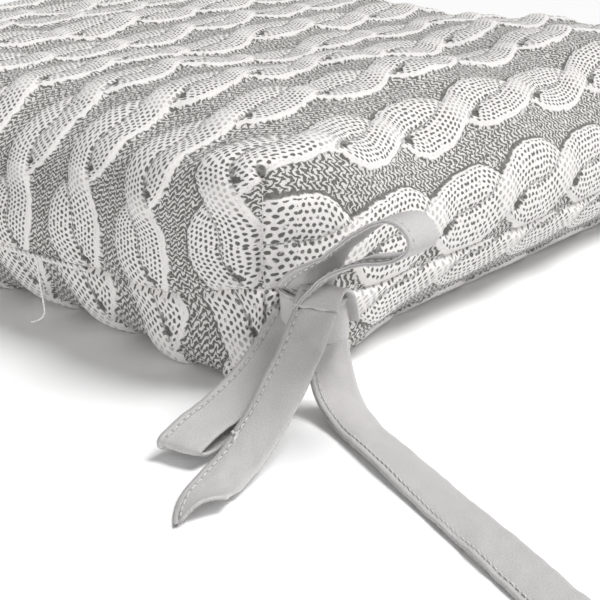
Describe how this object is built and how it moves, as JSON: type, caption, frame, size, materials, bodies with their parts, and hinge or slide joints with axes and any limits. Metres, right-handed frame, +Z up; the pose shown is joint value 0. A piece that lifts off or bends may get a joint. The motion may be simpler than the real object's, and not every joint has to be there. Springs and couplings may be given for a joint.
{
  "type": "chair seat pad",
  "caption": "Square boxed seat pad in cable-knit print fabric, filled with fibre, with tie tapes tied in bows at the rear corners.",
  "frame": {"origin": "on the surface that the pad lies on, under the middle of the pad", "axes": "+Z up, +Y towards the rear edge that carries the ties, +X to the right of a person sitting on the pad"},
  "size_m": [0.7314, 0.4847, 0.08],
  "materials": {
    "print_fabric": "printed woven fabric with a light and dark grey knit pattern",
    "polyester_fibre": "white loose fibre",
    "sewing_thread": "light polyester thread",
    "tie_tape": "light grey plain weave",
    "tie_thread": "grey thread, a little darker than the tape"
  },
  "bodies": {
    "pad": {"closing_stitches": "sewing_thread", "closing_thread_end": "sewing_thread", "corner_seam_threads": "sewing_thread", "cover_bottom": "print_fabric", "cover_top": "print_fabric", "filling": "polyester_fibre", "left_bow_knot": "tie_tape", "left_bow_rear_loop": "tie_tape", "left_bow_rear_loop_topstitch": "tie_thread", "left_bow_root": "tie_tape", "left_bow_side_loop": "tie_tape", "left_bow_side_loop_topstitch": "tie_thread", "right_bow_knot": "tie_tape", "right_bow_rear_loop": "tie_tape", "right_bow_rear_loop_topstitch": "tie_thread", "right_bow_root": "tie_tape", "right_bow_side_loop": "tie_tape", "right_bow_side_loop_topstitch": "tie_thread", "seam_thread": "sewing_thread"},
    "left_rear_tail": {"left_bow_rear_tail": "tie_tape", "left_bow_rear_tail_topstitch": "tie_thread"},
    "left_side_tail": {"left_bow_side_tail": "tie_tape", "left_bow_side_tail_topstitch": "tie_thread"},
    "right_rear_tail": {"right_bow_rear_tail": "tie_tape", "right_bow_rear_tail_topstitch": "tie_thread"},
    "right_side_tail": {"right_bow_side_tail": "tie_tape", "right_bow_side_tail_topstitch": "tie_thread"}
  },
  "joints": [
    {"name": "left_rear_tail_lift", "type": "hinge", "parent": "pad", "child": "left_rear_tail", "pos_m": [-0.2235, 0.2045, 0.038], "axis": [0.9839, 0.1788, 0], "range_deg": [0, 40]},
    {"name": "left_side_tail_lift", "type": "hinge", "parent": "pad", "child": "left_side_tail", "pos_m": [-0.219, 0.192, 0.022], "axis": [0.4924, 0.8704, 0], "range_deg": [0, 30]},
    {"name": "right_rear_tail_lift", "type": "hinge", "parent": "pad", "child": "right_rear_tail", "pos_m": [0.2235, 0.2045, 0.038], "axis": [0.9839, -0.1788, 0], "range_deg": [0, 40]},
    {"name": "right_side_tail_lift", "type": "hinge", "parent": "pad", "child": "right_side_tail", "pos_m": [0.219, 0.192, 0.022], "axis": [0.4924, -0.8704, 0], "range_deg": [0, 30]}
  ]
}
